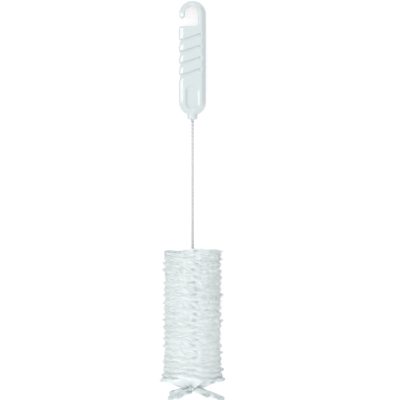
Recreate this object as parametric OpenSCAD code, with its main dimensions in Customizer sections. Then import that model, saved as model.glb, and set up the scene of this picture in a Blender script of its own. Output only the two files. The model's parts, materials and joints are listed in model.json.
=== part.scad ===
// Bottle brush: a moulded handle with a hanging hook, a twisted wire stem, a cylindrical
// head of nylon bristles in ruffled helical rows, and a splayed tuft at the tip.
//
// Every piece is drawn in the brush's own frame: the axis is Y, the top of the hook is at
// y = 0 and the tip points along -Y, X is the width of the handle and Z its thickness.
// lying() then lays the whole brush down, resting on its hook and on the rim of its head.

/* [Handle] */
// Length of the handle from the top of the hook to its rounded lower end
handle_l = 115; // [100:0.5:150]
// Width of the handle across its flat faces
handle_w = 27.5; // [23:0.5:34]
// Thickness of the handle, whose edges are rounded
handle_t = 12; // [10:0.5:15]
// Diameter of the collar that the wire goes into
collar_d = 10.4; // [9:0.1:13]
// Length of the collar beyond the rounded end
collar_l = 4; // [3:0.1:8]

/* [Hanging hook] */
// Inner diameter of the hook
hook_d = 13.3; // [11:0.1:15]
// Width of the bar at the top of the hook
hook_top_w = 6; // [5:0.1:8]
// Width of the bar at the open leg of the hook
hook_leg_w = 6.2; // [5:0.1:8]
// Length of the open leg below the hook's centre
hook_leg_l = 5.4; // [5:0.1:8]
// Gap between the open leg and the body, where a rail goes in
mouth_gap = 7.7; // [6:0.1:12]
// Radius of the edges inside the hook and round its mouth
hook_edge_r = 1.7; // [1:0.1:2.5]

/* [Grip] */
// Number of slanted grooves
groove_count = 4; // [2:1:5]
// Spacing of the grooves along the handle
groove_pitch = 11.6; // [10:0.1:14]
// Distance from the top edge of the body to the first groove
groove_start = 10.6; // [8:0.1:14]
// Slope of the grooves across the handle, in degrees
groove_slope = 18; // [5:1:25]
// Radius of the round bottom of a groove
groove_r = 2.4; // [1.5:0.1:3]
// Depth of the grooves
groove_depth = 1.1; // [0.5:0.1:1.5]
// Distance from the grooves' closed ends to the handle's closed edge
groove_stop = 4.5; // [2:0.1:8]
// Length of the oval thumb recess
oval_l = 27; // [20:0.5:32]
// Width of the oval thumb recess
oval_w = 14.4; // [10:0.1:17]
// Depth of the oval thumb recess
oval_depth = 1.4; // [0.5:0.1:2]
// Distance from the middle of the recess to the rounded lower end
oval_from_end = 18.4; // [16:0.1:24]

/* [Wire] */
// Diameter of the single wire, which is folded double and twisted
strand_d = 1.75; // [1.4:0.05:2.2]
// Free length of the stem between the collar and the head
stem_l = 129; // [80:1:220]
// Advance of the stem for each full turn of the twist
stem_pitch = 7.5; // [6:0.1:12]
// Advance of the head for each full turn, opened up by the bristles
head_pitch = 12.5; // [9:0.1:18]
// Depth of the wire's hole in the handle
socket_l = 30; // [15:1:40]

/* [Bristles] */
// Diameter of the cylindrical head
head_d = 57.5; // [40:0.5:75]
// Length of the cylindrical head
head_l = 136; // [80:1:180]
// Thickness of one row of bristles along the wire
row_t = 1; // [0.8:0.1:2.5]
// Thickness of the packed bristle roots around the wire
root_t = 1.6; // [1:0.1:3]

/* [End tuft] */
// Number of clumps in the splayed tuft
clump_count = 8; // [6:1:10]
// Reach of the clumps, from the axis to the middle of a clump's outer end
tuft_reach = 33; // [20:0.5:38]
// Length of the tuft, from the cylindrical head to the middle of a clump's outer end
tuft_l = 14.5; // [10:0.5:25]
// Diameter of a clump at its flared outer end
clump_d = 6; // [3:0.1:8]

/* [Hidden] */
$fn = 48;

wire_fit = 0.1;      // clearance all round the wire in the handle and in the bristles
end_fit = 0.3;       // clearance between the ends of neighbouring pieces
through = 1;         // how far a cutter runs past the face that it opens
face_lap = 0.1;      // how far a trimming block stands outside the face that it trims
strand_bite = 0.15;  // how far the two strands are pressed into each other
wire_steps = 8;      // sections for each turn of the wire
row_steps = 18;      // sections for each turn of the bristle rows
root_gap = 15;       // angle between an arm of the bristles and the next point of their roots
edge_proud = 0.15;   // how far the radius of the handle's edges exceeds half its thickness
bowl_share = 2.3;    // depth of the oval's whole bowl, for each millimetre down to its floor

// handle
edge_r = handle_t / 2;
round_r = edge_r + edge_proud;
flat_from = round_r - sqrt(pow(round_r, 2) - pow(edge_r, 2));
end_r = handle_w / 2;
hook_r = hook_d / 2;
hook_y = -(hook_top_w + hook_r);
hook_x = -end_r + hook_leg_w + hook_r;
leg_tip_y = hook_y - hook_leg_l;
tip_r = hook_leg_w / 2 + face_lap;
body_top_y = leg_tip_y - mouth_gap;
collar_y = -(handle_l + collar_l);
collar_chamfer = 0.6;
oval_y = -(handle_l - oval_from_end);

// wire
strand_r = strand_d / 2;
strand_off = strand_r - strand_bite / 2;
wire_r = strand_off + strand_r;
wire_top_y = collar_y + socket_l;
head_y = collar_y - stem_l;
tip_y = head_y - head_l;
fold_y = tip_y - root_t - wire_r;
wire_end_y = fold_y - wire_r;

// bristles
head_r = head_d / 2;
root_r = wire_r + wire_fit + root_t;
row_angle = 360 * row_t / head_pitch;
root_angle = row_angle / 2 + root_gap;

// The brush lies on the hook, where its flat face begins, and on the rim of its head.
tilt = atan2(head_r - edge_r, -head_y - flat_from);
lift = edge_r * cos(tilt) - flat_from * sin(tilt);
brush_l = -tip_y + tuft_l + clump_d / 2;
laid_y = (brush_l * cos(tilt) + tuft_reach * sin(tilt)) / 2;

// Lays the brush on the ground plane, with its handle towards +Y.
module lying() {
    translate([0, laid_y, lift]) rotate([-tilt, 0, 0]) children();
}

// Places its children at a depth y along the brush, with their +Z pointing at the tip.
module toward_tip(y) {
    translate([0, y, 0]) rotate([90, 0, 0]) children();
}

// Cross-section of the grip: flat faces between rounded edges, which they meet in a faint line.
module grip_section() {
    round_x = end_r - round_r;
    intersection() {
        union() {
            square([2 * round_x, handle_t], center = true);
            for (side = [-1, 1]) translate([side * round_x, 0]) circle(r = round_r);
        }
        square([2 * handle_w, handle_t], center = true);
    }
}

// Round end of the grip, half a turn of its own cross-section.
module grip_end() {
    rotate_extrude(angle = 180) intersection() {
        grip_section();
        translate([0, -edge_r]) square([end_r, handle_t]);
    }
}

// The whole outer form of the grip, before the hook and the grooves are cut.
module grip_blank() {
    toward_tip(-end_r) linear_extrude(handle_l - handle_w) grip_section();
    translate([0, -end_r, 0]) grip_end();
    translate([0, end_r - handle_l, 0]) rotate([0, 0, 180]) grip_end();
}

// Section of what is kept beside the hook's space: a block from x = 0 to w whose edges at
// x = 0 are rounded. It is a little thicker than the grip, so its flat faces stay outside it.
module kept_section(w) {
    half_t = edge_r + face_lap;
    translate([hook_edge_r, -half_t]) square([w - hook_edge_r, 2 * half_t]);
    translate([0, hook_edge_r - half_t]) square([hook_edge_r, 2 * (half_t - hook_edge_r)]);
    for (side = [-1, 1])
        translate([hook_edge_r, side * (half_t - hook_edge_r)]) circle(r = hook_edge_r);
}

// What the hook's space leaves standing: the arc, both legs, the leg's round tip, the body.
module kept_round_hook() {
    leg_end = leg_tip_y + tip_r;
    translate([hook_x, hook_y, 0]) rotate_extrude(angle = 180)
        translate([hook_r, 0]) kept_section(handle_w);
    translate([hook_x + hook_r, 0, 0]) toward_tip(hook_y)
        linear_extrude(hook_y - body_top_y + end_r) kept_section(handle_w);
    translate([hook_x - hook_r, 0, 0]) mirror([1, 0, 0]) toward_tip(hook_y)
        linear_extrude(hook_y - leg_end) kept_section(handle_w);
    translate([hook_x - hook_r - tip_r, leg_end, 0]) rotate_extrude() intersection() {
        translate([tip_r, 0]) mirror([1, 0]) kept_section(handle_w);
        translate([0, -handle_w]) square([handle_w, 2 * handle_w]);
    }
    translate([-handle_w, body_top_y, 0]) rotate([90, 0, 90])
        linear_extrude(2 * handle_w) mirror([1, 0]) kept_section(handle_l);
}

// One groove: a round cutter that runs round the grip's open edge in a sloping plane, and
// over both faces to its closed ends.
module groove_bend() {
    ring_r = edge_r + groove_r - groove_depth;
    half_l = (end_r / cos(groove_slope)) - edge_r;
    closed_l = (end_r - groove_stop) / cos(groove_slope);
    rotate([0, 0, groove_slope]) rotate([90, 0, 0]) {
        for (side = [-1, 1])
            translate([-half_l, side * ring_r, 0]) rotate([0, 90, 0])
                cylinder(r = groove_r, h = half_l + closed_l);
        translate([-half_l, 0, 0]) rotate([0, 0, 90])
            rotate_extrude(angle = 180) translate([ring_r, 0]) circle(r = groove_r);
    }
}

// Oval dish with sloping walls and a flat floor, drawn with the face of the handle at z = 0.
module oval_dish() {
    bowl_h = bowl_share * oval_depth;
    side_r = (pow(oval_w / 2, 2) + pow(bowl_h, 2)) / (2 * bowl_h);
    long_r = (pow(oval_l / 2, 2) + pow(bowl_h, 2)) / (2 * bowl_h);
    intersection() {
        translate([0, 0, side_r - bowl_h]) rotate([90, 0, 0]) rotate_extrude()
            intersection() {
                translate([side_r - long_r, 0]) circle(r = long_r);
                translate([0, -oval_l]) square([side_r, 2 * oval_l]);
            }
        translate([-oval_w, -oval_l, -oval_depth]) cube([2 * oval_w, 2 * oval_l, handle_t]);
    }
}

// Round collar with a small chamfer, from inside the rounded end to the wire.
module collar() {
    toward_tip(end_r - handle_l) {
        cylinder(d = collar_d, h = end_r + collar_l - collar_chamfer);
        translate([0, 0, end_r + collar_l - collar_chamfer])
            cylinder(d1 = collar_d, d2 = collar_d - 2 * collar_chamfer, h = collar_chamfer);
    }
}

module handle() {
    color("white") lying() difference() {
        union() {
            intersection() {
                grip_blank();
                kept_round_hook();
            }
            collar();
        }
        for (i = [0 : groove_count - 1])
            translate([0, body_top_y - groove_start - i * groove_pitch, 0]) groove_bend();
        translate([0, oval_y, edge_r]) oval_dish();
        toward_tip(wire_top_y + end_fit)
            cylinder(r = wire_r + wire_fit, h = socket_l + end_fit + through);
    }
}

function on_circle(r, a) = [r * cos(a), r * sin(a)];
function turned(p, a) = [p[0] * cos(a) - p[1] * sin(a), p[0] * sin(a) + p[1] * cos(a)];

// Angle of the twist at a depth y, which runs down to the right across the front, with a
// slower twist inside the head.
function twist_at(y) = 360 * (y - head_y) / (y > head_y ? stem_pitch : head_pitch);

// The two strands close into a round nose where the wire is folded at the tip.
function nose_at(y) = y > fold_y ? 1 : sqrt(1 - pow((fold_y - y) / wire_r, 2));

// Even depths from one end to the other, at least so many for each turn of the twist.
function depths(from, to, pitch, steps) =
    let (n = ceil(steps * abs(to - from) / pitch))
    [for (i = [0 : n]) from + (to - from) * i / n];

// Sweeps a closed outline round the axis down the brush, turned with the twist at each depth.
module twisted_sweep(outline, levels) {
    n = len(outline);
    last = len(levels) - 1;
    top = n * (last + 1);
    rings = [
        for (y = levels, p = outline)
            let (q = nose_at(y) * turned(p, twist_at(y))) [q[0], y, q[1]]
    ];
    sides = [
        for (i = [0 : last - 1], k = [0 : n - 1])
            let (a = i * n + k, b = i * n + (k + 1) % n)
            each [[a, b, a + n], [b, b + n, a + n]]
    ];
    top_cap = [for (k = [0 : n - 1]) [top, (k + 1) % n, k]];
    tip_cap = [for (k = [0 : n - 1]) [top + 1, last * n + k, last * n + (k + 1) % n]];
    ends = [[0, levels[0], 0], [0, levels[last], 0]];
    polyhedron(concat(rings, ends), concat(sides, top_cap, tip_cap));
}

// Outline of the two strands side by side.
function wire_outline() = [
    for (side = [0, 180], a = [-100 : 50 : 100])
        turned([strand_off, 0] + on_circle(strand_r, a), side)
];

// The folded wire: its two strands twist round each other from the handle to the tip.
module core_wire() {
    stem = depths(wire_top_y, head_y, stem_pitch, wire_steps);
    head = depths(head_y, fold_y, head_pitch, wire_steps);
    below = [for (i = [1 : len(head) - 1]) head[i]];
    nose = [for (slope = [25 : 25 : 75]) fold_y - wire_r * sin(slope)];
    color("silver") lying() twisted_sweep(wire_outline(), concat(stem, below, nose));
}

// Outline of the bristles across the wire: packed roots and two opposite arms, which lie
// between the strands and so a quarter turn from them.
function bristle_outline() = [
    for (side = [90, 270])
        each concat(
            [for (a = [-row_angle / 2, 0, row_angle / 2]) on_circle(head_r, side + a)],
            [for (a = [root_angle, 90, 180 - root_angle]) on_circle(root_r, side + a)]
        )
];

module bristle_head() {
    color("whitesmoke") lying() difference() {
        twisted_sweep(bristle_outline(), depths(head_y, tip_y, head_pitch, row_steps));
        toward_tip(head_y + through)
            cylinder(r = wire_r + wire_fit, h = head_l + 2 * through);
    }
}

// One tapered clump, from the wire's end out to the reach of the tuft.
module clump() {
    drop = tuft_l - root_r;
    translate([0, 0, root_r]) rotate([0, atan2(tuft_reach, drop), 0])
        cylinder(d1 = clump_d / 2, d2 = clump_d, h = norm([tuft_reach, drop]));
}

module end_tuft() {
    color("whitesmoke") lying() toward_tip(tip_y - end_fit) difference() {
        union() {
            cylinder(r = root_r, h = 2 * root_r);
            for (i = [0 : clump_count - 1]) rotate(i * 360 / clump_count) clump();
        }
        translate([0, 0, -through])
            cylinder(r = wire_r + wire_fit, h = tip_y - wire_end_y + through);
    }
}

handle();
core_wire();
bristle_head();
end_tuft();
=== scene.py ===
"""The looks of a bottle brush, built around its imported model.

The brush lies on a pale floor, on its hook and on the rim of its head. Each sub-assembly is a
class that holds its sizes in millimetres, in the brush's own frame: Y runs up the axis from
the tip to the hook, whose top is at y = 0, X is the width of the handle and Z comes out of
its face. Pose turns that frame into the row frame, which is in metres.
"""
import json
import logging
import math
from dataclasses import dataclass
from enum import Enum
from typing import Callable

import bpy
import numpy as np
from mathutils import Euler, Matrix, Vector


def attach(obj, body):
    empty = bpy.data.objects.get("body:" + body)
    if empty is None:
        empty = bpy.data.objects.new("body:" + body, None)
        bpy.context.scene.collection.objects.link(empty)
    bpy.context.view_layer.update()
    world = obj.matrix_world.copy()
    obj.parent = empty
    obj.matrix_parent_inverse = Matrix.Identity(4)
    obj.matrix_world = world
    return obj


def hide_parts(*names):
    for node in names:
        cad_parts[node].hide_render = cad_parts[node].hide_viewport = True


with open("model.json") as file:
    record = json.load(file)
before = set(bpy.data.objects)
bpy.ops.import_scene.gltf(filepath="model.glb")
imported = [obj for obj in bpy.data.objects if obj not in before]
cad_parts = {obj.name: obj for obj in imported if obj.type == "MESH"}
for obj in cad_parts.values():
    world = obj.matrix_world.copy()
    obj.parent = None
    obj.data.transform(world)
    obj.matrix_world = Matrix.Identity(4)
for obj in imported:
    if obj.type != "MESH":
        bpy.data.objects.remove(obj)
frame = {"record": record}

MM = 0.001
NEARLY_ZERO = 1e-9
LOG = logging.getLogger("bottle_brush")
Array = np.ndarray
Colour = tuple[float, float, float, float]
Range = tuple[float, float]

# A colour Mix node's sockets, which share their names with its other kinds' sockets
MIX_SHARE, MIX_FIRST, MIX_SECOND, MIX_RESULT = 0, 6, 7, 2
# What turns a point half way round the brush's axis
HALF_TURN = (-1, 1, -1)


class Slot(Enum):
    """The record's material slots."""

    HANDLE = "handle"
    WIRE = "wire"
    BRISTLES = "bristles"


# ------------------------------------------------------------------------------------------
# Where the brush lies
# ------------------------------------------------------------------------------------------


@dataclass(frozen=True)
class Pose:
    """The place and tilt of the brush's own frame in the row frame."""

    matrix: Matrix

    @classmethod
    def from_mount(cls, record: dict, hook_centre: Vector) -> "Pose":
        """Reads the pose from the mount in the middle of the hanging hook.

        Args:
            record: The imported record.
            hook_centre: The middle of the hook in the brush's frame, in millimetres.

        Returns:
            The pose of the brush.
        """
        mount = next(m for m in record["mounts"] if m["name"] == "hanging_hook")
        tilt = math.atan2(mount["axis"][1], mount["axis"][2])
        turn = Euler((-tilt, 0, 0)).to_matrix()
        origin = Vector(mount["pos_m"]) - turn @ (hook_centre * MM)
        return cls(Matrix.Translation(origin) @ turn.to_4x4())

    def heights(self, points: Array) -> Array:
        """Gives the height above the floor of each point, all in millimetres."""
        row = np.array(self.matrix[2])
        return points @ row[:3] + row[3] / MM

    def straight_up(self) -> Array:
        """Gives the direction away from the floor in the brush's frame."""
        return np.array(self.matrix[2])[:3]


# ------------------------------------------------------------------------------------------
# Meshes
# ------------------------------------------------------------------------------------------


def add_object(name: str, data: bpy.types.ID) -> bpy.types.Object:
    """Makes an object from a mesh, a lamp or a camera, and links it into the scene.

    Args:
        name: The object's name.
        data: Its mesh, lamp or camera.

    Returns:
        The object, linked into the scene.
    """
    made = bpy.data.objects.new(name, data)
    bpy.context.scene.collection.objects.link(made)
    return made


def make_piece(name: str, points: Array, faces: list[Array], pose: Pose) -> bpy.types.Object:
    """Makes a smooth mesh object that lies as the brush does.

    Args:
        name: The piece's name.
        points: Its vertices in the brush's frame, in millimetres.
        faces: Arrays of faces, each with its own number of corners.
        pose: The brush's pose.

    Returns:
        The object, linked into the scene.
    """
    mesh = bpy.data.meshes.new(name)
    corners = np.concatenate([f.ravel() for f in faces]).astype(np.int32)
    counts = np.concatenate([np.full(len(f), f.shape[1]) for f in faces])
    starts = (np.cumsum(counts) - counts).astype(np.int32)
    mesh.vertices.add(len(points))
    mesh.vertices.foreach_set("co", (points * MM).astype(np.float32).ravel())
    mesh.loops.add(len(corners))
    mesh.loops.foreach_set("vertex_index", corners)
    mesh.polygons.add(len(starts))
    mesh.polygons.foreach_set("loop_start", starts)
    mesh.update(calc_edges=True)
    mesh.transform(pose.matrix)
    mesh.shade_smooth()
    return add_object(name, mesh)


def add_fibres(piece: bpy.types.Object, points: Array) -> None:
    """Stores where the fibre through each vertex starts, in millimetres, for the finish."""
    layer = piece.data.attributes.new("fibre", "FLOAT_VECTOR", "POINT")
    layer.data.foreach_set("vector", points.astype(np.float32).ravel())


def place_piece(piece: bpy.types.Object, slot: Slot, *nodes: str) -> None:
    """Rides a piece on the brush's one body, hides the CAD nodes that it replaces, and logs its
    slot.

    Args:
        piece: The finished piece.
        slot: The record's material slot that it belongs to, which is only logged.
        nodes: The CAD nodes that it replaces.
    """
    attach(piece, "root")
    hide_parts(*nodes)
    LOG.info("%s: %d faces, %s", piece.name, len(piece.data.polygons), slot.value)


def smooth_max(a: Array, b: Array, radius: float) -> Array:
    """Gives the larger of two distances, blended over about a radius where they meet."""
    blend = np.maximum(radius - np.abs(a - b), 0) / radius
    return np.maximum(a, b) + blend**2 * radius / 4


def smooth_min(a: Array, b: Array, radius: float) -> Array:
    """Gives the smaller of two distances, blended over about a radius where they meet."""
    return -smooth_max(-a, -b, radius)


def round_max(a: Array, b: Array, radius: float) -> Array:
    """Gives the larger of two distances, with a round edge of that radius where they meet."""
    inner = np.minimum(np.maximum(a, b), -radius)
    return inner + np.hypot(np.maximum(a + radius, 0), np.maximum(b + radius, 0))


def smooth_step(value: Array, low: float, high: float) -> Array:
    """Rises smoothly from 0 at low to 1 at high."""
    share = np.clip((value - low) / (high - low), 0, 1)
    return share * share * (3 - 2 * share)


Field = Callable[[Array, Array, Array], Array]


class SurfaceNet:
    """Turns a distance field into a mesh of quads, with its vertices on the surface."""

    def __init__(self, shape: Field, low: Array, high: Array, step: float) -> None:
        """Samples the field on a grid.

        Args:
            shape: The distance field, negative inside the solid.
            low: The lowest corner of the grid.
            high: The highest corner that it has to reach.
            step: The size of a grid cell.
        """
        self.shape, self.low, self.step = shape, low, step
        axes = [np.arange(a, b + step, step) for a, b in zip(low, high)]
        self.values = shape(*np.meshgrid(*axes, indexing="ij"))

    def build(self) -> tuple[Array, Array]:
        """Gives the mesh's points and quads.

        Returns:
            The points, and the quads as rows of four point numbers.
        """
        values = self.values
        size = np.array(values.shape) - 1
        total = np.zeros((*size, 3))
        count = np.zeros(size)
        for axis in range(3):
            self.add_crossings(axis, total, count)
        live = count > 0
        number = np.full(size, -1)
        number[live] = np.arange(live.sum())
        cells = np.argwhere(live)
        points = self.low + (cells + total[live] / count[live][:, None]) * self.step
        quads = np.concatenate([self.quads_across(axis, number) for axis in range(3)])
        return self.settle(points), quads

    def add_crossings(self, axis: int, total: Array, count: Array) -> None:
        """Adds the places where the surface crosses the cells' edges along one axis.

        Args:
            axis: The axis that the edges run along.
            total: The sum of each cell's crossings, within the cell.
            count: The number of each cell's crossings.
        """
        size = count.shape
        across = [a for a in range(3) if a != axis]
        for corner in ((0, 0), (0, 1), (1, 0), (1, 1)):
            start = [0, 0, 0]
            start[across[0]], start[across[1]] = corner
            end = list(start)
            end[axis] = 1
            a, b = (self.values[tuple(slice(o, o + n) for o, n in zip(at, size))]
                    for at in (start, end))
            crossed = (a < 0) != (b < 0)
            share = np.where(crossed, a / np.where(crossed, a - b, 1), 0)
            for k in range(3):
                total[..., k] += crossed * start[k] if k != axis else share
            count += crossed

    def quads_across(self, axis: int, number: Array) -> Array:
        """Gives the quads round each crossed grid edge along one axis.

        Args:
            axis: The axis that the edges run along.
            number: Each cell's point number, or -1 where it has none.

        Returns:
            The quads, which all face out.
        """
        i, j = (axis + 1) % 3, (axis + 2) % 3
        inner = [slice(None)] * 3
        inner[i] = inner[j] = slice(1, -1)
        near, far = list(inner), list(inner)
        near[axis], far[axis] = slice(None, -1), slice(1, None)
        a, b = self.values[tuple(near)], self.values[tuple(far)]
        at = np.argwhere((a < 0) != (b < 0))
        going_out = (a < 0)[tuple(at.T)]
        at[:, i] += 1
        at[:, j] += 1
        ring = []
        for step_i, step_j in ((1, 1), (0, 1), (0, 0), (1, 0)):
            cell = at.copy()
            cell[:, i] -= step_i
            cell[:, j] -= step_j
            ring.append(number[tuple(cell.T)])
        quads = np.stack(ring, 1)
        return np.where(going_out[:, None], quads, quads[:, ::-1])

    def settle(self, points: Array, rounds: int = 3, reach: float = 0.02,
               least_slope: float = 0.1) -> Array:
        """Moves points onto the surface along the field's slope.

        Args:
            points: The points to move.
            rounds: How many times they move.
            reach: Half the distance over which the slope is measured.
            least_slope: The least squared slope that a move is worked out from.

        Returns:
            The moved points.
        """
        for _ in range(rounds):
            value = self.shape(*points.T)
            slope = np.empty_like(points)
            for k in range(3):
                ahead, behind = points.copy(), points.copy()
                ahead[:, k] += reach
                behind[:, k] -= reach
                slope[:, k] = (self.shape(*ahead.T) - self.shape(*behind.T)) / (2 * reach)
            size = np.maximum((slope**2).sum(1), least_slope)
            move = slope * (value / size)[:, None]
            length = np.linalg.norm(move, axis=1)
            cap = np.minimum(1, self.step / 2 / np.maximum(length, NEARLY_ZERO))
            points = points - move * cap[:, None]
        return points


# ------------------------------------------------------------------------------------------
# Handle
# ------------------------------------------------------------------------------------------


@dataclass
class Handle:
    """The moulded handle: flat grip, hook, slanted grooves, thumb recess and collar."""

    length: float = 115.0
    width: float = 27.5
    thickness: float = 12.0
    edge_radius: float = 6.15
    # The round collar that the wire goes into
    collar_diameter: float = 10.4
    collar_length: float = 4.0
    collar_edge: float = 1.3
    # The hook, with its open leg and its mouth
    hook_diameter: float = 13.3
    hook_top: float = 6.0
    leg_width: float = 6.2
    leg_length: float = 5.4
    mouth: float = 7.7
    hook_edge: float = 1.7
    inner_fillet: float = 1.6
    # The slanted grooves: flanks run across each of them, and ends along x
    groove_count: int = 4
    groove_pitch: float = 11.6
    groove_start: float = 10.6
    groove_slope: float = math.radians(18)
    groove_depth: float = 1.6
    groove_plunge: float = 0.5
    groove_end: tuple[float, float, float] = (7.2, 8.7, 9.75)
    end_wall: tuple[float, float, float] = (1.0, 0.55, 0.0)
    floor_from: Range = (4.0, 8.5)
    upper_flank: Range = (0.25, 1.7)
    lower_flank: Range = (0.1, -3.3)
    flank_growth: float = 2.6
    growth_from: float = 8.0
    end_flattening: float = 0.65
    # The thumb recess
    oval_length: float = 27.0
    oval_width: float = 15.0
    oval_depth: float = 1.4
    oval_wall: float = 2.4
    oval_from_end: float = 18.4
    # The wire's socket
    bore_radius: float = 1.775
    bore_length: float = 30.3
    # The faces' bevels and crown, and the blends where surfaces meet
    bevel_from: float = 8.7
    bevel_slope: float = math.radians(30)
    crown: float = 0.12
    crown_reach: float = 1.2
    edge_blend: float = 0.3
    face_blend: float = 0.4
    collar_blend: float = 0.8
    oval_blend: float = 0.2
    # The mesh, which stays a little inside the solid
    inset: float = 0.02
    grid: float = 0.4
    margin_cells: int = 3

    @property
    def end_radius(self) -> float:
        """Radius of the round ends, seen from the front."""
        return self.width / 2

    @property
    def hook_centre(self) -> Vector:
        """The middle of the hook."""
        radius = self.hook_diameter / 2
        return Vector((-self.end_radius + self.leg_width + radius, -(self.hook_top + radius), 0))

    @property
    def leg_tip(self) -> float:
        """The y of the open leg's tip."""
        return self.hook_centre.y - self.leg_length

    @property
    def body_top(self) -> float:
        """The y of the body's top edge, below the hook's mouth."""
        return self.leg_tip - self.mouth

    @property
    def collar_end(self) -> float:
        """The y of the collar's end."""
        return -(self.length + self.collar_length)

    def grip(self, x: Array, y: Array, z: Array) -> Array:
        """Distance to the grip: a flat bar with rounded edges and round ends.

        Args:
            x: The points' x.
            y: The points' y.
            z: The points' z.

        Returns:
            The distances, negative inside.
        """
        below = np.maximum(self.end_radius - self.length - y, 0)
        above = np.maximum(y + self.end_radius, 0)
        out = np.hypot(x, below + above)
        edge_x = self.end_radius - self.edge_radius
        edge = np.hypot(np.maximum(out - edge_x, 0), z) - self.edge_radius
        rise = np.abs(z) - self.thickness / 2
        bevel = ((out - self.bevel_from) * math.sin(self.bevel_slope)
                 + rise * math.cos(self.bevel_slope))
        crown = self.crown * np.minimum(out / edge_x, self.crown_reach) ** 2
        side = smooth_max(edge, bevel, self.edge_blend)
        return smooth_max(side, rise + crown, self.face_blend)

    def hook_space(self, x: Array, y: Array) -> Array:
        """Distance to the space inside the hook and its mouth, seen from the front.

        Args:
            x: The points' x.
            y: The points' y.

        Returns:
            The distances, negative inside.
        """
        centre, radius = self.hook_centre, self.hook_diameter / 2
        top = self.body_top - y
        right = x - centre.x - radius
        disc = np.hypot(x - centre.x, y - centre.y) - radius
        corner = round_max(right, top, self.inner_fillet)
        throat = np.maximum(corner, np.maximum(-right - 2 * radius, y - centre.y))
        tip = self.leg_width / 2
        leg_x = centre.x - radius - tip
        leg = np.hypot(x - leg_x, np.minimum(y - self.leg_tip - tip, 0)) - tip
        mouth = np.maximum(np.maximum(top, x - centre.x), np.maximum(y - centre.y, -leg))
        return np.minimum(np.minimum(disc, throat), mouth)

    def groove_cut(self, x: Array, y: Array) -> Array:
        """How far the grooves sink the grip's surface, with a steep upper flank each.

        Args:
            x: The points' x.
            y: The points' y.

        Returns:
            The depth of the grooves, which run out of the left edge, and dip to a flat floor
            and end at a sloping wall before the right one.
        """
        ended = np.interp(x, self.groove_end, self.end_wall)
        growth = smooth_step(-x, self.growth_from, self.end_radius)
        low_end = self.lower_flank[1] - self.flank_growth * growth
        near_end = smooth_step(x, *self.floor_from)
        cut = np.zeros_like(x)
        for i in range(self.groove_count):
            middle = self.body_top - self.groove_start - i * self.groove_pitch
            up = (y - middle) * math.cos(self.groove_slope) - x * math.sin(self.groove_slope)
            upper = 1 - smooth_step(up, *self.upper_flank)
            lower = smooth_step((up - low_end) / (self.lower_flank[0] - low_end), 0, 1)
            cut = np.maximum(cut, upper * lower ** (1 - self.end_flattening * near_end))
        return (self.groove_depth + self.groove_plunge * near_end) * ended * cut

    def oval_cut(self, x: Array, y: Array) -> Array:
        """Depth of the thumb recess: a long oval with sloping walls and a flat floor.

        Args:
            x: The points' x.
            y: The points' y.

        Returns:
            The recess's depths, 0 outside it.
        """
        half = (self.oval_length - self.oval_width) / 2
        along = np.maximum(np.abs(y + self.length - self.oval_from_end) - half, 0)
        inside = self.oval_width / 2 - np.hypot(x, along)
        return self.oval_depth * np.clip(inside / self.oval_wall, 0, 1)

    def collar(self, x: Array, y: Array, z: Array) -> Array:
        """Distance to the round collar that the wire goes into.

        Args:
            x: The points' x.
            y: The points' y.
            z: The points' z.

        Returns:
            The distances, negative inside.
        """
        side = np.hypot(x, z) - self.collar_diameter / 2
        ends = np.maximum(self.collar_end - y, y + self.length - self.end_radius)
        return round_max(side, ends, self.collar_edge)

    def shape(self, x: Array, y: Array, z: Array) -> Array:
        """Distance to the whole handle.

        Args:
            x: The points' x.
            y: The points' y.
            z: The points' z.

        Returns:
            The distances, negative inside.
        """
        grip = self.grip(x, y, z) + self.groove_cut(x, y)
        kept = round_max(grip, -self.hook_space(x, y), self.hook_edge)
        joined = smooth_min(kept, self.collar(x, y, z), self.collar_blend)
        dish = z - self.thickness / 2 + self.oval_cut(x, y)
        dished = smooth_max(joined, dish, self.oval_blend)
        solid = np.where(y > -self.length, dished, joined)
        bore_end = y - self.collar_end - self.bore_length
        bore = np.maximum(np.hypot(x, z) - self.bore_radius, bore_end)
        return np.maximum(solid, -bore) + self.inset

    def build(self, pose: Pose) -> None:
        """Makes the handle as one mesh.

        Args:
            pose: The brush's pose.
        """
        margin = self.margin_cells * self.grid
        high = np.array([self.end_radius, 0, self.thickness / 2]) + margin
        low = -high + np.array([0, self.collar_end, 0])
        points, quads = SurfaceNet(self.shape, low, high, self.grid).build()
        piece = make_piece("moulded_handle", points, [quads], pose)
        dress(piece, HandlePlastic().material())
        place_piece(piece, Slot.HANDLE, "handle")


# ------------------------------------------------------------------------------------------
# Wire
# ------------------------------------------------------------------------------------------


@dataclass
class Twist:
    """The wire's twist, which is slower in the head, where the bristles hold it open."""

    head_top: float = -248.0
    head_length: float = 136.0
    stem_pitch: float = 7.5
    head_pitch: float = 12.5

    @property
    def tip(self) -> float:
        """The y of the cylindrical head's lower end."""
        return self.head_top - self.head_length

    def at(self, y: Array) -> Array:
        """Gives the twist's angle at each y."""
        pitch = np.where(y > self.head_top, self.stem_pitch, self.head_pitch)
        return 2 * math.pi * (self.head_top - y) / pitch

    @staticmethod
    def place(radius: Array, angle: Array, y: Array) -> Array:
        """Gives points round the wire, at angles that grow to the right across the front."""
        across, out = np.broadcast_arrays(-radius * np.cos(angle), radius * np.sin(angle))
        return np.stack([across, np.broadcast_to(y, across.shape), out], -1)


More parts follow.
